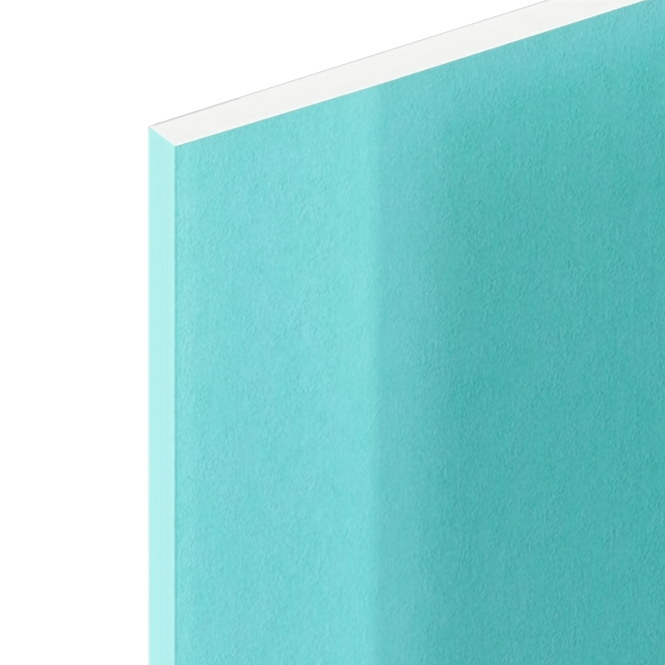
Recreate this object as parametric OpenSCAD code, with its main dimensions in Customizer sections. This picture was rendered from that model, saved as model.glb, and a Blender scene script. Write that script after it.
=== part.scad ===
// Tapered-edge drywall sheet, lying face up.
// A white gypsum core is bound in paper. The coloured face paper covers the face, folds round both
// long edges and is turned in under the back, where the grey back paper is laid over its margins.
// The two ends are sawn square, so the core and the cut edges of the papers show there.
// Origin at the middle of the underside, +X along the sheet, +Y across it, +Z out of the face.

/* [Sheet] */
// Length between the sawn ends, along X
sheet_length = 2400; // [900:100:3600]
// Width between the paper-bound long edges, along Y
sheet_width = 1200; // [600:50:1250]
// Thickness of the flat field between the tapers
sheet_thickness = 12.5; // [9.5:0.5:20]

/* [Tapered edges] */
// Distance from a long edge to the line where its taper starts
taper_width = 55; // [40:1:80]
// Drop of the face at a long edge, below the field
taper_drop = 1.1; // [0.6:0.1:2.5]
// Width of the soft bend where the field turns into the taper
taper_bend_width = 7; // [2:1:20]

/* [Face paper] */
// Thickness of the face paper
face_paper_thickness = 0.35; // [0.2:0.05:0.4]
// Outer radius of the fold between the face and a long edge
face_fold_radius = 0.5; // [0.45:0.05:1]
// Outer radius of the fold between a long edge and the back
back_fold_radius = 0.5; // [0.45:0.05:1]
// Width of the margin turned in under the back, measured from a long edge
turn_in_width = 25; // [12:1:50]

/* [Back paper] */
// Thickness of the back paper
back_paper_thickness = 0.4; // [0.2:0.05:0.5]
// Strip of turned-in face paper that the back paper leaves bare along a long edge
bare_strip_width = 2; // [2:0.5:10]
// Width of the joggle in which the turned-in margin rises to let the back paper lie over it
joggle_width = 0.6; // [0.4:0.1:0.8]
// Step from the back paper's outer surface up to the bare strip, which is pressed almost flush
lap_step = 0.1; // [0.05:0.05:0.15]

/* [Hidden] */

// Flat facets in each paper fold, and in the soft bend where a taper starts
fold_facets = 8;
bend_facets = 6;

half_width = sheet_width / 2;
taper_angle = atan(taper_drop / taper_width);

// The bend touches the field and the taper half its width to either side of the line where they meet
bend_reach = taper_bend_width / 2;
bend_radius = bend_reach / tan(taper_angle / 2);

// Height of the taper's sloping surface above the centre line of the face fold
face_fold_inset = taper_width - face_fold_radius;
taper_height_at_fold = sheet_thickness - face_fold_inset * tan(taper_angle);

// Centres of the arcs in the right half of the cross-section, as [across, up]
bend_centre = [half_width - taper_width - bend_reach, sheet_thickness - bend_radius];
face_fold_centre = [
    half_width - face_fold_radius,
    taper_height_at_fold - face_fold_radius / cos(taper_angle)
];
back_fold_centre = [half_width - back_fold_radius, lap_step + back_fold_radius];

// Where the turned-in margin ends, and where the back paper ends, to either side of the middle
margin_end = half_width - turn_in_width;
back_paper_end = half_width - bare_strip_width;

// The joggle starts on the bare strip and reaches the back paper's height at the back paper's edge
joggle_start = back_paper_end + joggle_width;
joggle_angle = atan((back_paper_thickness - lap_step) / joggle_width);

// Points along an arc, from one angle to another
function arc(centre, radius, from_angle, to_angle, facets) = [
    for (i = [0:facets])
        let (a = from_angle + (to_angle - from_angle) * i / facets)
        centre + radius * [cos(a), sin(a)]
];

function reversed(points) = [for (i = [len(points) - 1:-1:0]) points[i]];

function mirrored(points) = [for (p = points) [-p[0], p[1]]];

// The turned-in margin at a given depth inside the outer surface: along the bare strip to the joggle,
// up the joggle and on over the back paper
function margin(depth) =
    let (shift = depth * tan(joggle_angle / 2))
    [
        [joggle_start + shift, lap_step + depth],
        [back_paper_end + shift, back_paper_thickness + depth],
        [margin_end, back_paper_thickness + depth]
    ];

// Right half of the line that runs a given depth inside the outer surface of the face paper:
// over the bend, down the taper, round the long edge and in under the back
function half_wrap(depth) = concat(
    arc(bend_centre, bend_radius - depth, 90, 90 - taper_angle, bend_facets),
    arc(face_fold_centre, face_fold_radius - depth, 90 - taper_angle, 0, fold_facets),
    arc(back_fold_centre, back_fold_radius - depth, 0, -90, fold_facets),
    margin(depth)
);

// The whole line, from the end of the left margin to the end of the right one
function wrap(depth) = concat(reversed(mirrored(half_wrap(depth))), half_wrap(depth));

// Stands a cross-section across the sheet and runs it from one sawn end to the other
module along_sheet() {
    rotate([90, 0, 90])
        linear_extrude(height = sheet_length, center = true)
            children();
}

// Set gypsum, filling everything inside the face paper down to the back paper
module gypsum_core() {
    underside = [[margin_end, back_paper_thickness], [-margin_end, back_paper_thickness]];
    color("#f2f3f1")
        along_sheet()
            polygon(concat(wrap(face_paper_thickness), underside));
}

// One sheet of paper over the face, both long edges and the margins of the back
module face_paper() {
    color("#5bbab8")
        along_sheet()
            polygon(concat(wrap(0), reversed(wrap(face_paper_thickness))));
}

// Flat liner over the back of the core and all but the outer strips of the turned-in margins
module back_paper() {
    color("#c9c6bf")
        along_sheet()
            translate([-back_paper_end, 0])
                square([2 * back_paper_end, back_paper_thickness]);
}

gypsum_core();
face_paper();
back_paper();
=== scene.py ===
"""A tapered-edge drywall sheet lying face up, seen from above at one corner."""
import math

import bmesh
import bpy
from mathutils import Matrix, Quaternion, Vector


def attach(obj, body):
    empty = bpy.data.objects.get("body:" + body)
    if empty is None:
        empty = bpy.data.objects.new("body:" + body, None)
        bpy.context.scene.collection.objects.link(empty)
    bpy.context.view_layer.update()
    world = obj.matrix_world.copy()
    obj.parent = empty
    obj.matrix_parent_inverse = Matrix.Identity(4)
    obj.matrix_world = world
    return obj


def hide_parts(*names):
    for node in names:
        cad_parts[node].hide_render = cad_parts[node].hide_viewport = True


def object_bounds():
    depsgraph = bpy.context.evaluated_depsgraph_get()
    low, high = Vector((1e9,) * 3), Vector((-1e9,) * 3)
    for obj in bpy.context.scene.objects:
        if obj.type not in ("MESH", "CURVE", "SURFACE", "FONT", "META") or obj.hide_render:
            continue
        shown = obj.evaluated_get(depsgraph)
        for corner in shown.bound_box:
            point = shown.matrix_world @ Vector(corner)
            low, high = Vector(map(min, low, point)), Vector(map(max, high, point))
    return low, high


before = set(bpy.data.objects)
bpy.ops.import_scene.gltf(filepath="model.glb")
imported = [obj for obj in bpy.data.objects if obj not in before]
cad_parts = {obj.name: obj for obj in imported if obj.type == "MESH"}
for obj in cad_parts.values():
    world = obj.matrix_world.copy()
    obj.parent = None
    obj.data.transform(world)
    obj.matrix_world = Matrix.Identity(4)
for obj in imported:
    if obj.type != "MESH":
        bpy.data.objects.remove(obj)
cad_low, cad_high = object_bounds()

MM = 0.001

# Forms of the sheet that its box doesn't give
TAPER_WIDTH = 55 * MM
TAPER_DROP = 1.1 * MM
BEND_WIDTH = 7 * MM
PAPER = 0.35 * MM
FOLD_RADIUS = 0.5 * MM
CREASE_INSET = 0.72 * MM
CREASE_HALF_WIDTH = 0.18 * MM
CREASE_DEPTH = 0.03 * MM
LAP_STEP = 0.1 * MM
BARE_STRIP = 2 * MM
JOGGLE = 0.6 * MM
BACK_PAPER = 0.4 * MM
TURN_IN = 25 * MM

# What follows from the box and these forms
HALF_LENGTH = cad_high.x
HALF_WIDTH = cad_high.y
FIELD_HALF_WIDTH = HALF_WIDTH - TAPER_WIDTH
TAPER_SLOPE = TAPER_DROP / TAPER_WIDTH
FACE_HEIGHT = cad_high.z
EDGE_HEIGHT = FACE_HEIGHT - TAPER_DROP
CREASE_HEIGHT = EDGE_HEIGHT + CREASE_INSET * TAPER_SLOPE

# Facets across the bend, round a fold and across the crease, and the steepest turn that is shaded smooth
BEND_FACETS = 6
FOLD_FACETS = 8
CREASE_FACETS = 2
SMOOTH_ANGLE = math.radians(35)

# Rows along the sheet, and the least share of a strip's width that a line crossing it has
ROW_WIDTH = 0.8 * MM
CROSSING_SHARE = 0.8

# The cut at the sawn ends, where the saw leaves the paper slightly ragged
CUT_STRIP = 1.5 * MM
CUT_RAGGEDNESS = 0.1 * MM
CUT_TUFT = 0.9 * MM

# How close two places are that count as the same, and how close points are that get merged
SAME_PLACE = 0.01 * MM
MERGE_DISTANCE = 0.001 * MM

# Strands in the paper: how far apart, how long and wide, how far turned, and the share that is there
RAISED_STRANDS = {
    "spacing": 4 * MM, "length": 2.6 * MM, "width": 0.7 * MM, "spread": math.radians(30), "share": 0.4
}
DARK_STRANDS = {
    "spacing": 5 * MM, "length": 1.2 * MM, "width": 0.6 * MM, "spread": math.radians(40), "share": 0.4
}
THIN_STRANDS = {
    "spacing": 0.9 * MM, "length": 1.3 * MM, "width": 0.13 * MM, "spread": math.radians(70), "share": 0.8
}
CROSSING_STRANDS = {
    "spacing": 0.7 * MM, "length": 0.9 * MM, "width": 0.1 * MM, "spread": math.radians(90), "share": 0.8
}

# The share of places where a strand is there but faint
FAINT_SHARE = 0.1

# Shifts in metres that keep one pattern from following another, and the step towards the key lamp for the
# painted light on the fibres' sides, in grains
DARK_SHIFT = (1.7, 0.9, 0.0)
CROSSING_SHIFT = (0.3, 0.5, 0.0)
LIT_SIDE_SHIFT = (-0.06, -0.33, 0.0)

# How patterns are squeezed along, across and up: a smaller number draws a pattern out further
STREAK_SQUEEZE = (0.08, 0.5, 0.5)
TONE_SQUEEZE = (0.75, 0.85, 0.85)
DRIFT_SQUEEZE = (0.6, 1.0, 1.0)
CLOUD_SQUEEZE = (0.5, 1.0, 1.0)
BELT_SQUEEZE = (2.0, 0.0, 1 / (1.1 * MM))

# Where a finish changes, as distances in from a long edge: it starts at the first, and ends at the second
ON_EDGE = (0.22 * MM, 0.04 * MM)
CUT_ON_EDGE = (0.5 * MM, 0.35 * MM)
IN_CREASE = (1.0 * MM, 0.4 * MM)
FOLD_TO_RIM = (0.8 * MM, 3.2 * MM)
RIM_TO_TAPER = (2.8 * MM, 7.8 * MM)
TAPER_DEEPENS = (10 * MM, 18 * MM)
TAPER_TO_BEND = (25 * MM, 52 * MM)
IRONED_FROM_TAPER = (41 * MM, 46 * MM)
BEND_PALES = (45 * MM, 50 * MM)
BEND_TO_FIELD = (TAPER_WIDTH - 3 * MM, TAPER_WIDTH + 3 * MM)
FIELD_DEEPENS = (58 * MM, 82 * MM)
IRONED_FROM_FIELD = (70 * MM, 61 * MM)

# The same, as distances in from a sawn end
EDGE_FRINGE = (0.7 * MM, 0.1 * MM)
FACE_FRINGE = (0.9 * MM, 0.2 * MM)
RUBBED_END = (9 * MM, 0.0)
AT_END = (20 * MM, 0.0)
BY_END = (52 * MM, 0.0)
AWAY_FROM_END = (40 * MM, 120 * MM)

# The same, as heights above the underside
EDGE_BY_BACK = (1.7 * MM, 0.1 * MM)
CUT_ABOVE_BACK = (0.9 * MM, 1.5 * MM)
GLUE_LINE = (1.2 * MM, 0.4 * MM)

# The same, as depths under the outside of the face paper
DENSE_SKIN = (1.5 * MM, 0.4 * MM)

# The same, as shares: a whole one, parts of a noise's range, the range of the clouds, and a pore's wall
WHOLE = (0.0, 1.0)
NOISE_MIDDLE = (0.35, 0.65)
NOISE_MOST = (0.3, 0.7)
NOISE_NEARLY_ALL = (0.25, 0.75)
CLOUDS_SPAN = (0.1, 1.2)
PORE_WALL = (0.12, 0.24)

# How the camera stands to the near corner: over the sawn end, round towards the long edge, and rolled
VIEW_OVER_END = math.radians(29.3)
VIEW_ROUND_TO_EDGE = math.radians(33.6)
VIEW_ROLL = math.radians(-0.18)

# The camera's lens: half its angle of view, its sensor in millimetres, and how far it sees in metres
VIEW_HALF_ANGLE = math.radians(0.65)
SENSOR = 36.0
VIEW_REACH = 100

# The picture's width, and where the corner between face, sawn end and long edge stands in it
FRAME_PX = 665
PX_PER_M = 4360
CORNER_PX = (174.56, 146.22)

# Light that a white surface gets from the sky, and from the key lamp when it faces the lamp
SKY_LIGHT = 0.56
KEY_LIGHT = 0.68
KEY_TOWARDS = Vector((-0.36, -0.62, 0.70)).normalized()
KEY_SOFTNESS = math.radians(20)

# The floor, the share of light that it throws back, and the share of its white that a shadow can take
FLOOR_HALF_SIZE = 60.0
FLOOR_CLEARANCE = 0.02 * MM
FLOOR_ALBEDO = 0.85
FLOOR_SHADOW_SHARE = 0.4

# Where a Mix node keeps its factor, its two colours and its mixed colour
MIX_FACTOR = 0
MIX_FIRST = 6
MIX_SECOND = 7
MIX_RESULT = 2


def srgb(red, green, blue):
    """A colour given in screen levels from 0 to 255, as linear values with alpha."""
    def linear(level):
        share = level / 255
        return share / 12.92 if share <= 0.04045 else ((share + 0.055) / 1.055) ** 2.4
    return (linear(red), linear(green), linear(blue), 1.0)


def grey(share):
    """A grey that throws back the given share of light."""
    return (share, share, share, 1.0)


def add_node(tree, kind, inputs=(), **settings):
    """Adds a node with these settings, and links or fills its inputs, given as (socket, value) pairs."""
    node = tree.nodes.new(kind)
    for name, value in settings.items():
        setattr(node, name, value)
    for socket, value in inputs:
        if isinstance(value, bpy.types.NodeSocket):
            tree.links.new(value, node.inputs[socket])
        else:
            node.inputs[socket].default_value = value
    return node


def maths(tree, operation, *values):
    """The result of one operation on numbers."""
    node = add_node(tree, "ShaderNodeMath", enumerate(values), operation=operation)
    return node.outputs[0]


def add_share(tree, extra, share, to):
    """A value with a share of something extra added to it."""
    return maths(tree, "MULTIPLY_ADD", extra, share, to)


def vector_maths(tree, operation, *values):
    """The result of one operation on vectors."""
    node = add_node(tree, "ShaderNodeVectorMath", enumerate(values), operation=operation)
    return node.outputs["Vector"]


def split(tree, vector):
    """The X, Y and Z of a vector."""
    return add_node(tree, "ShaderNodeSeparateXYZ", [(0, vector)]).outputs


def fade(tree, value, start, end, low=0.0, high=1.0):
    """A smooth step from low to high as the value goes from start to end."""
    node = add_node(
        tree,
        "ShaderNodeMapRange",
        [("Value", value), ("From Min", start), ("From Max", end), ("To Min", low), ("To Max", high)],
        interpolation_type="SMOOTHSTEP",
    )
    return node.outputs["Result"]


def mix_colours(tree, factor, first, second, blend="MIX"):
    """The first colour, with the second blended in as far as the factor says."""
    node = add_node(
        tree,
        "ShaderNodeMix",
        [(MIX_FACTOR, factor), (MIX_FIRST, first), (MIX_SECOND, second)],
        data_type="RGBA",
        blend_type=blend,
    )
    return node.outputs[MIX_RESULT]


def noise(tree, place, size, detail=2.0, roughness=0.5):
    """Noise between 0 and 1, with lumps of about the given size."""
    node = add_node(
        tree,
        "ShaderNodeTexNoise",
        [("Vector", place), ("Scale", 1 / size), ("Detail", detail), ("Roughness", roughness)],
    )
    return node.outputs["Fac"]


def new_group(name, inputs, outputs):
    """An empty shader node group with float sockets and one vector input, Place: its tree and its ends."""
    tree = bpy.data.node_groups.new(name, "ShaderNodeTree")
    tree.interface.new_socket("Place", in_out="INPUT", socket_type="NodeSocketVector")
    for label in inputs:
        tree.interface.new_socket(label, in_out="INPUT", socket_type="NodeSocketFloat")
    for label in outputs:
        tree.interface.new_socket(label, in_out="OUTPUT", socket_type="NodeSocketFloat")
    return tree, tree.nodes.new("NodeGroupInput").outputs, tree.nodes.new("NodeGroupOutput").inputs


def make_strands(tree, place, spacing, length, width, spread, share):
    """Single strands in a share of the cells, turned by up to the spread from the sheet's length."""
    cells = add_node(
        tree,
        "ShaderNodeTexVoronoi",
        [("Vector", place), ("Scale", 1 / spacing)],
        voronoi_dimensions="2D",
    ).outputs
    chance = add_node(tree, "ShaderNodeSeparateColor", [("Color", cells["Color"])]).outputs
    turn = add_share(tree, chance["Red"], share=2 * spread, to=-spread)
    from_middle = vector_maths(tree, "SUBTRACT", place, cells["Position"])
    along_strand = add_node(
        tree,
        "ShaderNodeVectorRotate",
        [("Vector", from_middle), ("Angle", turn)],
        rotation_type="Z_AXIS",
    ).outputs["Vector"]
    parts = split(tree, along_strand)
    lengthwise = fade(tree, maths(tree, "ABSOLUTE", parts["X"]), length / 2, length / 4)
    crosswise = fade(tree, maths(tree, "ABSOLUTE", parts["Y"]), width / 2, 0.0)
    strand = maths(tree, "MULTIPLY", lengthwise, crosswise)
    bare_share = 1.0 - share
    present = fade(tree, chance["Green"], bare_share, bare_share + FAINT_SHARE)
    return maths(tree, "MULTIPLY", strand, present)


def make_fibres_group():
    """Matted paper fibres: grain, long streaks, single strands, drifts of dye and slow clouds, and the
    grain's sides that face the key lamp, for painted light.
    """
    tree, given, made = new_group(
        "paper_fibres",
        ["Grain Length", "Grain Width"],
        ["Height", "Fuzz", "Tone", "Lift", "Dye", "Clouds"],
    )
    place = given["Place"]
    grain_size = add_node(
        tree,
        "ShaderNodeCombineXYZ",
        [("X", given["Grain Length"]), ("Y", given["Grain Width"]), ("Z", given["Grain Width"])],
    ).outputs["Vector"]
    grain_place = vector_maths(tree, "DIVIDE", place, grain_size)
    pressing = noise(tree, place, size=6 * MM, detail=1.0)
    pressed = fade(tree, pressing, *NOISE_MOST, low=0.35, high=1.65)

    def grain_at(spot):
        return maths(tree, "MULTIPLY", noise(tree, spot, size=1.0, detail=1.0, roughness=0.6), pressed)

    # Height: the grain, with streaks and raised strands
    grain = grain_at(grain_place)
    streak_place = vector_maths(tree, "MULTIPLY", grain_place, STREAK_SQUEEZE)
    streaks = noise(tree, streak_place, size=1.0, detail=1.0)
    raised = make_strands(tree, place, **RAISED_STRANDS)
    height = add_share(tree, streaks, share=0.6, to=grain)
    height = add_share(tree, raised, share=0.26, to=height)
    tree.links.new(height, made["Height"])

    # Fuzz: fluff, with thin strands that lie across each other
    crossing_place = vector_maths(tree, "ADD", place, CROSSING_SHIFT)
    crossing = make_strands(tree, crossing_place, **CROSSING_STRANDS)
    thin = maths(tree, "ADD", make_strands(tree, place, **THIN_STRANDS), crossing)
    fluff = noise(tree, place, size=0.16 * MM)
    tree.links.new(add_share(tree, thin, share=0.35, to=fluff), made["Fuzz"])

    # Lit sides: painted light, where the grain stands higher than it does a little way off towards the key
    # lamp
    grain_towards_lamp = grain_at(vector_maths(tree, "ADD", grain_place, LIT_SIDE_SHIFT))
    tree.links.new(maths(tree, "SUBTRACT", grain, grain_towards_lamp), made["Lift"])

    # Tone: unevenly dyed fibres, with the raised strands paler and some others darker
    tone_place = vector_maths(tree, "MULTIPLY", grain_place, TONE_SQUEEZE)
    dyed = noise(tree, tone_place, size=1.0, detail=1.0)
    dark = make_strands(tree, vector_maths(tree, "ADD", place, DARK_SHIFT), **DARK_STRANDS)
    tone = add_share(tree, raised, share=0.32, to=dyed)
    tone = add_share(tree, dark, share=-0.5, to=tone)
    tree.links.new(tone, made["Tone"])

    # Dye and clouds: slow changes over many fibres
    drift_place = vector_maths(tree, "MULTIPLY", place, DRIFT_SQUEEZE)
    drift = noise(tree, drift_place, size=6.5 * MM, detail=3.0, roughness=0.6)
    tree.links.new(fade(tree, drift, *NOISE_MIDDLE), made["Dye"])
    cloud_place = vector_maths(tree, "MULTIPLY", place, CLOUD_SQUEEZE)
    clouds = noise(tree, cloud_place, size=45 * MM, detail=4.0)
    mottle = noise(tree, place, size=4 * MM, detail=1.0)
    tree.links.new(add_share(tree, mottle, share=0.3, to=clouds), made["Clouds"])
    return tree


def new_material(name, specular):
    """A material with its node tree, its Principled shader and the place on the sheet."""
    material = bpy.data.materials.new(name)
    material.use_nodes = True
    tree = material.node_tree
    shader = tree.nodes["Principled BSDF"]
    shader.inputs["Specular IOR Level"].default_value = specular
    place = tree.nodes.new("ShaderNodeTexCoord").outputs["Object"]
    return material, tree, shader, place


def finish_surface(tree, shader, colour, roughness, relief, depth):
    """Feeds the shader its colour, its roughness and a relief of the given depth."""
    bump = add_node(tree, "ShaderNodeBump", [("Height", relief), ("Distance", depth)])
    tree.links.new(colour, shader.inputs["Base Color"])
    tree.links.new(roughness, shader.inputs["Roughness"])
    tree.links.new(bump.outputs["Normal"], shader.inputs["Normal"])


def add_fibres(tree, fibres_group, place, length, width):
    """Places the paper fibres, with grains of the given size, and returns what the group puts out."""
    inputs = [("Place", place), ("Grain Length", length), ("Grain Width", width)]
    return add_node(tree, "ShaderNodeGroup", inputs, node_tree=fibres_group).outputs


def inward_from_edge(tree, parts):
    """The distance in from the nearer long edge."""
    return maths(tree, "SUBTRACT", HALF_WIDTH, maths(tree, "ABSOLUTE", parts["Y"]))


def inward_from_end(tree, parts):
    """The distance in from the nearer sawn end."""
    return maths(tree, "SUBTRACT", HALF_LENGTH, maths(tree, "ABSOLUTE", parts["X"]))


def colour_taper(tree, from_edge, from_end):
    """The taper's colour, from the fold to the bend: painted light makes it paler than the field, paler by
    the fold and paler at a sawn end.
    """
    fold = srgb(131, 217, 216)
    rim = srgb(136, 218, 218)
    taper_start = srgb(124, 212, 212)
    taper = srgb(122, 210, 211)
    bend = srgb(125, 215, 214)
    bend_at_end = srgb(131, 216, 216)
    # Painted light: the rim by the fold and the bend are paler than the middle of the taper
    colour = mix_colours(tree, fade(tree, from_edge, *TAPER_DEEPENS), taper_start, taper)
    colour = mix_colours(tree, fade(tree, from_edge, *RIM_TO_TAPER), rim, colour)
    colour = mix_colours(tree, fade(tree, from_edge, *FOLD_TO_RIM), fold, colour)
    colour = mix_colours(tree, fade(tree, from_edge, *TAPER_TO_BEND), colour, bend)
    # Painted light: the bend pales towards a sawn end
    at_end = fade(tree, from_end, *AT_END)
    pale_bend = maths(tree, "MULTIPLY", at_end, fade(tree, from_edge, *BEND_PALES))
    return mix_colours(tree, pale_bend, colour, bend_at_end)


def colour_field(tree, from_edge, from_end):
    """The field's colour, deepened by painted shade away from the bend and paled by painted light towards
    a sawn end.
    """
    start = srgb(108, 198, 199)
    start_at_end = srgb(114, 203, 204)
    field = srgb(82, 179, 176)
    field_by_end = srgb(95, 194, 191)
    field_at_end = srgb(112, 200, 202)
    # Painted light towards a sawn end, painted shade away from the bend
    by_end = fade(tree, from_end, *BY_END)
    beside_bend = mix_colours(tree, by_end, start, start_at_end)
    deep = mix_colours(tree, by_end, field, field_by_end)
    deep = mix_colours(tree, fade(tree, from_end, *AT_END), deep, field_at_end)
    return mix_colours(tree, fade(tree, from_edge, *FIELD_DEEPENS), beside_bend, deep)


def colour_edge(tree, place, height):
    """The long edge's colour: pale, partly as painted sheen, with faint marks of the belt along it, and a
    painted highlight that pales it towards the back.
    """
    # Partly painted sheen: the edge is paler and greyer than the face
    edge = srgb(169, 224, 222)
    painted_highlight_by_back = srgb(232, 230, 228)
    belt_place = vector_maths(tree, "MULTIPLY", place, BELT_SQUEEZE)
    belt = noise(tree, belt_place, size=1.0, detail=1.0)
    belt_marks = fade(tree, belt, *NOISE_NEARLY_ALL, low=0.98, high=1.02)
    marked = mix_colours(tree, 1.0, edge, belt_marks, "MULTIPLY")
    # Painted highlight: the lowest part of the edge pales towards the back
    return mix_colours(tree, fade(tree, height, *EDGE_BY_BACK, high=0.5), marked, painted_highlight_by_back)


def dye_fibres(tree, colour, fibres, on_face, ironed, relief):
    """The colour with the fibres in it: deeper and paler ones, painted light on the fibres' sides that
    face the key lamp, drifts of the dye, and clouds.
    """
    less_red = (0.94, 1.0, 0.985, 1.0)
    more_red = (1.06, 1.0, 1.015, 1.0)
    deeper = add_share(tree, fibres["Tone"], share=0.13, to=0.935)
    colour = mix_colours(tree, relief, colour, deeper, "MULTIPLY")
    dye = mix_colours(tree, fibres["Dye"], less_red, more_red)
    colour = mix_colours(tree, on_face, colour, dye, "MULTIPLY")
    paler_fibres_and_painted_light = add_share(tree, fibres["Tone"], share=0.04, to=-0.02)
    # Painted light: the fibres' sides that face the key lamp are painted paler
    paler_fibres_and_painted_light = add_share(tree, fibres["Lift"], share=0.07, to=paler_fibres_and_painted_light)
    paler_fibres_and_painted_light = maths(tree, "MULTIPLY", paler_fibres_and_painted_light, ironed)
    cloudy = add_share(tree, fibres["Clouds"], share=0.04, to=-0.034)
    paler_fibres_and_painted_light = add_share(tree, cloudy, share=on_face, to=paler_fibres_and_painted_light)
    return mix_colours(tree, 1.0, colour, paler_fibres_and_painted_light, "ADD")


def rub_ends(tree, colour, from_end, on_edge, on_face):
    """The colour with the bare fibres that the saw leaves along its cut."""
    raw_fibre = srgb(172, 191, 182)
    pale_fibre = srgb(205, 222, 217)
    fringe = fade(tree, from_end, *FACE_FRINGE, high=0.34)
    rubbed = maths(tree, "ADD", fringe, fade(tree, from_end, *RUBBED_END, high=0.05))
    colour = mix_colours(tree, maths(tree, "MULTIPLY", rubbed, on_face), colour, raw_fibre)
    edge_fringe = fade(tree, from_end, *EDGE_FRINGE, high=0.3)
    return mix_colours(tree, maths(tree, "MULTIPLY", edge_fringe, on_edge), colour, pale_fibre)


def make_face_paper_finish(fibres_group):
    """Aqua paper, with painted light and shade in its colour: paler on the tapers and long edges and
    towards the sawn ends, and deeper in the crease and across the field.
    """
    painted_shade_away_from_end = (0.90, 0.96, 0.975, 1.0)
    painted_crease_shade = (0.80, 0.85, 0.84, 1.0)
    material, tree, shader, place = new_material("aqua_face_paper", specular=0.2)
    fibres = add_fibres(tree, fibres_group, place, length=0.86 * MM, width=0.9 * MM)
    parts = split(tree, place)
    from_edge = inward_from_edge(tree, parts)
    from_end = inward_from_end(tree, parts)

    # Where the paper lies on the edge, the face and the field, and how far the bend has ironed its relief
    on_edge = fade(tree, from_edge, *ON_EDGE)
    on_face = maths(tree, "SUBTRACT", 1.0, on_edge)
    on_field = fade(tree, from_edge, *BEND_TO_FIELD)
    past_taper = fade(tree, from_edge, *IRONED_FROM_TAPER)
    at_bend = maths(tree, "MULTIPLY", past_taper, fade(tree, from_edge, *IRONED_FROM_FIELD))
    ironed = maths(tree, "MULTIPLY", on_face, fade(tree, at_bend, *WHOLE, low=1.0, high=0.72))
    relief = maths(tree, "MULTIPLY", ironed, fade(tree, on_field, *WHOLE, low=1.0, high=1.14))

    # Painted light and shade: the taper is paler than the field, and both are paler towards the sawn ends
    taper = colour_taper(tree, from_edge, from_end)
    face = mix_colours(tree, on_field, taper, colour_field(tree, from_edge, from_end))
    # Painted shade: the face darkens away from the sawn ends
    away = fade(tree, from_end, *AWAY_FROM_END)
    face = mix_colours(tree, away, face, painted_shade_away_from_end, "MULTIPLY")
    # Painted shade: a thin dark band in the crease beside the fold
    face = mix_colours(tree, fade(tree, from_edge, *IN_CREASE), face, painted_crease_shade, "MULTIPLY")
    colour = mix_colours(tree, on_edge, face, colour_edge(tree, place, parts["Z"]))
    colour = dye_fibres(tree, colour, fibres, on_face, ironed, relief)
    colour = rub_ends(tree, colour, from_end, on_edge, on_face)

    roughness = fade(tree, fibres["Tone"], *WHOLE, low=0.96, high=0.84)
    fuzz_share = fade(tree, on_face, *WHOLE, low=0.06, high=0.16)
    fuzz = maths(tree, "MULTIPLY", fibres["Fuzz"], fuzz_share)
    matted = add_share(tree, fibres["Height"], share=relief, to=fuzz)
    finish_surface(tree, shader, colour, roughness, matted, depth=0.165 * MM)
    return material


def make_cut_paper_finish(fibres_group):
    """The inner plies of the face paper, undyed, where the saw has cut through them."""
    pale_ply = srgb(236, 251, 249)
    ply_on_edge = srgb(208, 239, 237)
    ply_by_back = srgb(223, 223, 222)
    material, tree, shader, place = new_material("pale_cut_paper", specular=0.1)
    fibres = add_fibres(tree, fibres_group, place, length=0.5 * MM, width=0.3 * MM)
    parts = split(tree, place)
    on_edge = fade(tree, inward_from_edge(tree, parts), *CUT_ON_EDGE)
    ply = mix_colours(tree, on_edge, pale_ply, ply_on_edge)
    ply = mix_colours(tree, fade(tree, parts["Z"], *CUT_ABOVE_BACK), ply_by_back, ply)
    deeper = add_share(tree, fibres["Tone"], share=0.04, to=0.97)
    colour = mix_colours(tree, 1.0, ply, deeper, "MULTIPLY")
    roughness = fade(tree, fibres["Tone"], *WHOLE, low=1.0, high=0.9)
    finish_surface(tree, shader, colour, roughness, fibres["Fuzz"], depth=0.01 * MM)
    return material


def make_back_paper_finish(fibres_group):
    """Unbleached grey liner, with longer fibres and slow clouds, and paler plies where it is cut."""
    grey_liner = srgb(198, 196, 191)
    pale_liner = srgb(207, 206, 202)
    grey_ply = srgb(212, 212, 211)
    pale_ply = srgb(218, 218, 217)
    material, tree, shader, place = new_material("grey_back_paper", specular=0.2)
    fibres = add_fibres(tree, fibres_group, place, length=2.2 * MM, width=0.8 * MM)
    from_end = inward_from_end(tree, split(tree, place))
    uncut = maths(tree, "GREATER_THAN", from_end, SAME_PLACE)
    cloudy = fade(tree, fibres["Clouds"], *CLOUDS_SPAN)
    liner = mix_colours(tree, cloudy, grey_liner, pale_liner)
    deeper = add_share(tree, fibres["Tone"], share=0.2, to=0.9)
    liner = mix_colours(tree, 1.0, liner, deeper, "MULTIPLY")
    ply = mix_colours(tree, fibres["Tone"], grey_ply, pale_ply)
    colour = mix_colours(tree, uncut, ply, liner)
    roughness = fade(tree, fibres["Tone"], *WHOLE, low=0.97, high=0.85)
    matted = add_share(tree, fibres["Fuzz"], share=0.12, to=fibres["Height"])
    relief = maths(tree, "MULTIPLY", matted, uncut)
    finish_surface(tree, shader, colour, roughness, relief, depth=0.12 * MM)
    return material


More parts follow.
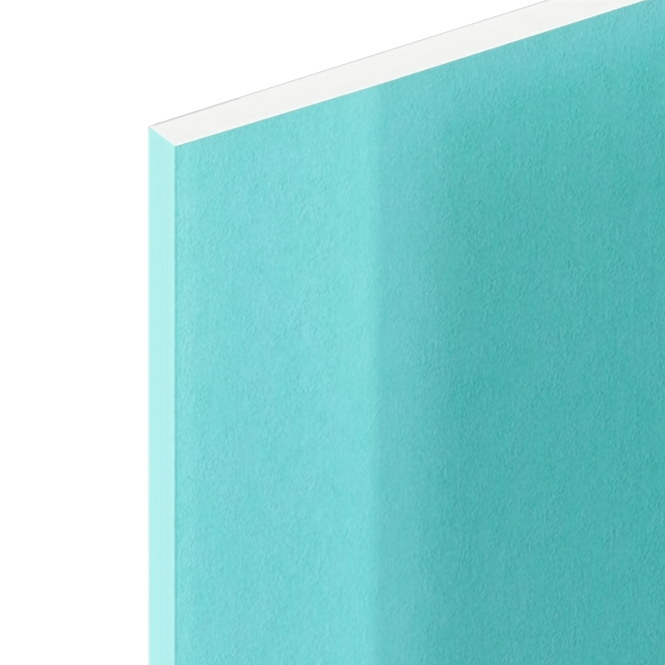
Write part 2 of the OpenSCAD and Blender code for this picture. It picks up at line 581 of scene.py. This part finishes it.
def make_gypsum_finish():
    """Set gypsum as the saw leaves it: white, faintly mottled and finely porous, with painted shade in the
    pores.
    """
    greyer_white = srgb(243, 244, 242)
    clear_white = srgb(245, 246, 244)
    skin_white = srgb(239, 250, 249)
    glue_white = srgb(230, 231, 229)
    pore_spacing = 0.6 * MM
    material, tree, shader, place = new_material("white_gypsum", specular=0.1)
    mottle = noise(tree, place, size=5 * MM, detail=3.0, roughness=0.6)
    colour = mix_colours(tree, fade(tree, mottle, *NOISE_MOST), greyer_white, clear_white)
    pores = add_node(tree, "ShaderNodeTexVoronoi", [("Vector", place), ("Scale", 1 / pore_spacing)])
    solid = fade(tree, pores.outputs["Distance"], *PORE_WALL)
    # Painted shade: the colour darkens a little inside each pore
    shade = add_share(tree, solid, share=0.05, to=0.95)
    colour = mix_colours(tree, 1.0, colour, shade, "MULTIPLY")

    # A denser, faintly tinted skin under the face paper, and a line of glue along the back paper
    parts = split(tree, place)
    from_edge = inward_from_edge(tree, parts)
    down_taper = maths(tree, "SUBTRACT", TAPER_WIDTH, from_edge)
    dropped = maths(tree, "MAXIMUM", maths(tree, "MULTIPLY", down_taper, TAPER_SLOPE), 0.0)
    under_face = maths(tree, "SUBTRACT", FACE_HEIGHT, maths(tree, "ADD", parts["Z"], dropped))
    under_paper = maths(tree, "MINIMUM", under_face, from_edge)
    colour = mix_colours(tree, fade(tree, under_paper, *DENSE_SKIN, high=0.85), colour, skin_white)
    colour = mix_colours(tree, fade(tree, parts["Z"], *GLUE_LINE, high=0.7), colour, glue_white)

    crumb = noise(tree, place, size=0.4 * MM, detail=3.0)
    roughness = fade(tree, crumb, *NOISE_MOST, low=0.9, high=1.0)
    relief = add_share(tree, solid, share=0.5, to=crumb)
    finish_surface(tree, shader, colour, roughness, relief, depth=0.016 * MM)
    return material


def near(first, second):
    """Whether two coordinates count as the same."""
    return abs(first - second) < SAME_PLACE


def select_edges(piece, wanted):
    """In edit mode, selects only the edges that the given test wants."""
    bpy.ops.mesh.select_mode(type="EDGE")
    bpy.ops.mesh.select_all(action="DESELECT")
    shape = bmesh.from_edit_mesh(piece.data)
    for line in shape.edges:
        line.select_set(wanted(line))
    bmesh.update_edit_mesh(piece.data)


def select_lines(piece, **place):
    """In edit mode, selects only the edges that lie at the given x, y or z from end to end."""
    def lies_there(line):
        return all(near(getattr(end.co, axis), at) for end in line.verts for axis, at in place.items())
    select_edges(piece, lies_there)


def bevel_line(piece, reach, facets, **place):
    """In edit mode, rounds the edges that lie at the given place."""
    select_lines(piece, **place)
    bpy.ops.mesh.bevel(offset=reach, offset_type="OFFSET", segments=facets, affect="EDGES", profile=0.5)


def cut_rows(piece, width, lowest):
    """Splits the strip of about the given width, above the given height, into rows along the sheet."""
    def crosses_strip(line):
        start, end = (corner.co for corner in line.verts)
        spans = near(start.x, end.x) and CROSSING_SHARE * width < line.calc_length() < width
        return spans and min(start.z, end.z) > lowest
    select_edges(piece, crosses_strip)
    bpy.ops.mesh.subdivide(number_cuts=round(width / ROW_WIDTH) - 1)


def apply_modifier(piece, name, kind, **settings):
    """Adds a modifier with these settings and applies it."""
    modifier = piece.modifiers.new(name, kind)
    for setting, value in settings.items():
        setattr(modifier, setting, value)
    bpy.ops.object.modifier_apply(modifier=modifier.name)


def lay_field_quarter():
    """The paper over a quarter of the flat field, in rows along the sheet."""
    bpy.ops.object.select_all(action="DESELECT")
    bpy.ops.mesh.primitive_grid_add(
        x_subdivisions=1,
        y_subdivisions=round(FIELD_HALF_WIDTH / ROW_WIDTH),
        size=1,
        location=(-HALF_LENGTH / 2, -FIELD_HALF_WIDTH / 2, FACE_HEIGHT),
    )
    wrap = bpy.context.object
    wrap.name = "face_paper_wrap"
    wrap.scale = (HALF_LENGTH, FIELD_HALF_WIDTH, 1)
    bpy.ops.object.transform_apply(location=True, rotation=True, scale=True)
    return wrap


def fold_round_edge(wrap):
    """In edit mode, runs the paper down the taper, round the long edge and in under the back."""
    select_lines(wrap, y=-FIELD_HALF_WIDTH)
    runs = [
        (CREASE_INSET - TAPER_WIDTH, CREASE_HEIGHT - FACE_HEIGHT),
        (-CREASE_INSET, EDGE_HEIGHT - CREASE_HEIGHT),
        (0, LAP_STEP - EDGE_HEIGHT),
        (BARE_STRIP - JOGGLE, 0),
        (JOGGLE, BACK_PAPER - LAP_STEP),
        (TURN_IN - BARE_STRIP, 0),
    ]
    for across, up in runs:
        bpy.ops.mesh.extrude_region_move(TRANSFORM_OT_translate={"value": (0, across, up)})

    bevel_line(wrap, BEND_WIDTH / 2, BEND_FACETS, y=-FIELD_HALF_WIDTH)
    bevel_line(wrap, FOLD_RADIUS, FOLD_FACETS, y=-HALF_WIDTH, z=EDGE_HEIGHT)
    bevel_line(wrap, FOLD_RADIUS, FOLD_FACETS, y=-HALF_WIDTH, z=LAP_STEP)
    crease = {"y": CREASE_INSET - HALF_WIDTH, "z": CREASE_HEIGHT}
    bevel_line(wrap, CREASE_HALF_WIDTH, CREASE_FACETS, **crease)
    select_lines(wrap, **crease)
    bpy.ops.transform.translate(value=(0, 0, -CREASE_DEPTH))

    cut_rows(wrap, TAPER_WIDTH, EDGE_HEIGHT)
    cut_rows(wrap, EDGE_HEIGHT, LAP_STEP)


def fray_cut(wrap):
    """From edit mode, frays the paper along the saw's cut, within a strip, and leaves edit mode."""
    bpy.ops.mesh.select_all(action="SELECT")
    bpy.ops.mesh.bisect(plane_co=(CUT_STRIP - HALF_LENGTH, 0, 0), plane_no=(1, 0, 0))
    select_lines(wrap, x=-HALF_LENGTH)
    bpy.ops.object.vertex_group_add()
    bpy.ops.object.vertex_group_assign()
    bpy.ops.object.mode_set(mode="OBJECT")
    tufts = bpy.data.textures.new("cut_tufts", "CLOUDS")
    tufts.noise_scale = CUT_TUFT
    apply_modifier(
        wrap,
        "ragged_cut",
        "DISPLACE",
        texture=tufts,
        texture_coords="LOCAL",
        vertex_group=wrap.vertex_groups[0].name,
        direction="X",
        mid_level=0,
        strength=CUT_RAGGEDNESS,
    )


def model_face_paper(paper, cut_paper):
    """One sheet of paper over the face, round the long edges and under the back, with ragged cut ends."""
    wrap = lay_field_quarter()
    bpy.ops.object.mode_set(mode="EDIT")
    fold_round_edge(wrap)
    fray_cut(wrap)
    apply_modifier(
        wrap,
        "other_quarters",
        "MIRROR",
        use_axis=(True, True, False),
        merge_threshold=MERGE_DISTANCE,
    )

    bpy.ops.object.mode_set(mode="EDIT")
    bpy.ops.mesh.select_all(action="SELECT")
    bpy.ops.mesh.remove_doubles(threshold=MERGE_DISTANCE)
    bpy.ops.mesh.normals_make_consistent(inside=False)
    bpy.ops.object.mode_set(mode="OBJECT")
    wrap.data.materials.append(paper)
    wrap.data.materials.append(cut_paper)
    apply_modifier(
        wrap,
        "paper_thickness",
        "SOLIDIFY",
        thickness=PAPER,
        offset=-1,
        use_even_offset=True,
        material_offset_rim=1,
    )
    bpy.ops.object.shade_smooth_by_angle(angle=SMOOTH_ANGLE)
    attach(wrap, "root")
    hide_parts("face_paper")


def finish_node(name, material):
    """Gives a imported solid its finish."""
    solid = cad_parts[name]
    solid.data.materials.clear()
    solid.data.materials.append(material)


def add_camera():
    """A long lens on the near corner, turned so that the sheet runs down the picture from its sawn end."""
    towards = Vector((
        -math.sin(VIEW_OVER_END),
        -math.cos(VIEW_OVER_END) * math.sin(VIEW_ROUND_TO_EDGE),
        math.cos(VIEW_OVER_END) * math.cos(VIEW_ROUND_TO_EDGE),
    ))
    out_of_end = Vector((-1, 0, 0))
    up = (out_of_end - out_of_end.dot(towards) * towards).normalized()
    up.rotate(Quaternion(towards, -VIEW_ROLL))
    right = up.cross(towards)
    corner = Vector((-HALF_LENGTH, -HALF_WIDTH, EDGE_HEIGHT))
    across = (FRAME_PX / 2 - CORNER_PX[0]) / PX_PER_M
    down = (FRAME_PX / 2 - CORNER_PX[1]) / PX_PER_M
    target = corner + across * right - down * up
    frame_half = FRAME_PX / PX_PER_M / 2
    data = bpy.data.cameras.new("camera")
    data.sensor_width = SENSOR
    data.lens = SENSOR / 2 / math.tan(VIEW_HALF_ANGLE)
    data.clip_end = VIEW_REACH
    camera = bpy.data.objects.new("camera", data)
    bpy.context.scene.collection.objects.link(camera)
    turn = Matrix((right, up, towards)).transposed().to_4x4()
    stand = target + towards * (frame_half / math.tan(VIEW_HALF_ANGLE))
    camera.matrix_world = Matrix.Translation(stand) @ turn
    bpy.context.scene.camera = camera


def seen_directly(tree):
    """1 for rays from the camera, mirrors and glass, and 0 for rays that carry light."""
    path = tree.nodes.new("ShaderNodeLightPath").outputs
    seen = maths(tree, "MAXIMUM", path["Is Camera Ray"], path["Is Glossy Ray"])
    return maths(tree, "MAXIMUM", seen, path["Is Transmission Ray"])


def light_and_show(tree, lighting, shown, output):
    """Lights the scene with one shader and shows the eye another."""
    mix = add_node(
        tree,
        "ShaderNodeMixShader",
        [(0, seen_directly(tree)), (1, lighting.outputs[0]), (2, shown.outputs[0])],
    )
    tree.links.new(mix.outputs[0], tree.nodes[output].inputs["Surface"])


def add_light():
    """A soft key lamp and an even sky, which the eye sees as a white backdrop."""
    lamp = bpy.data.lights.new("key", "SUN")
    lamp.energy = KEY_LIGHT * math.pi
    lamp.angle = KEY_SOFTNESS
    key = bpy.data.objects.new("key", lamp)
    key.rotation_mode = "QUATERNION"
    key.rotation_quaternion = KEY_TOWARDS.to_track_quat("Z", "Y")
    bpy.context.scene.collection.objects.link(key)

    world = bpy.data.worlds.new("studio")
    bpy.context.scene.world = world
    world.use_nodes = True
    tree = world.node_tree
    sky = tree.nodes["Background"]
    sky.inputs["Color"].default_value = grey(1.0)
    sky.inputs["Strength"].default_value = SKY_LIGHT
    backdrop = add_node(tree, "ShaderNodeBackground", [("Color", grey(1.0)), ("Strength", 1.0)])
    light_and_show(tree, sky, backdrop, "World Output")


def add_floor():
    """A pale floor, which the eye sees as white with a faint shadow."""
    bpy.ops.object.select_all(action="DESELECT")
    floor_height = cad_low.z - FLOOR_CLEARANCE
    bpy.ops.mesh.primitive_plane_add(size=2 * FLOOR_HALF_SIZE, location=(0, 0, floor_height))
    floor = bpy.context.object
    floor.name = "floor"
    material = bpy.data.materials.new("white_floor")
    material.use_nodes = True
    tree = material.node_tree
    tree.nodes.remove(tree.nodes["Principled BSDF"])
    lit = add_node(tree, "ShaderNodeBsdfDiffuse", [("Color", grey(FLOOR_ALBEDO))])
    shaded = add_node(tree, "ShaderNodeBsdfDiffuse", [("Color", grey(FLOOR_SHADOW_SHARE))])
    glow = add_node(tree, "ShaderNodeEmission", [("Strength", 1.0 - FLOOR_SHADOW_SHARE)])
    white = add_node(tree, "ShaderNodeAddShader", [(0, shaded.outputs[0]), (1, glow.outputs[0])])
    light_and_show(tree, lit, white, "Material Output")
    floor.data.materials.append(material)


bpy.context.scene.view_settings.view_transform = "Standard"
add_camera()
add_light()
add_floor()
paper_fibres = make_fibres_group()
model_face_paper(make_face_paper_finish(paper_fibres), make_cut_paper_finish(paper_fibres))
finish_node("back_paper", make_back_paper_finish(paper_fibres))
finish_node("gypsum_core", make_gypsum_finish())
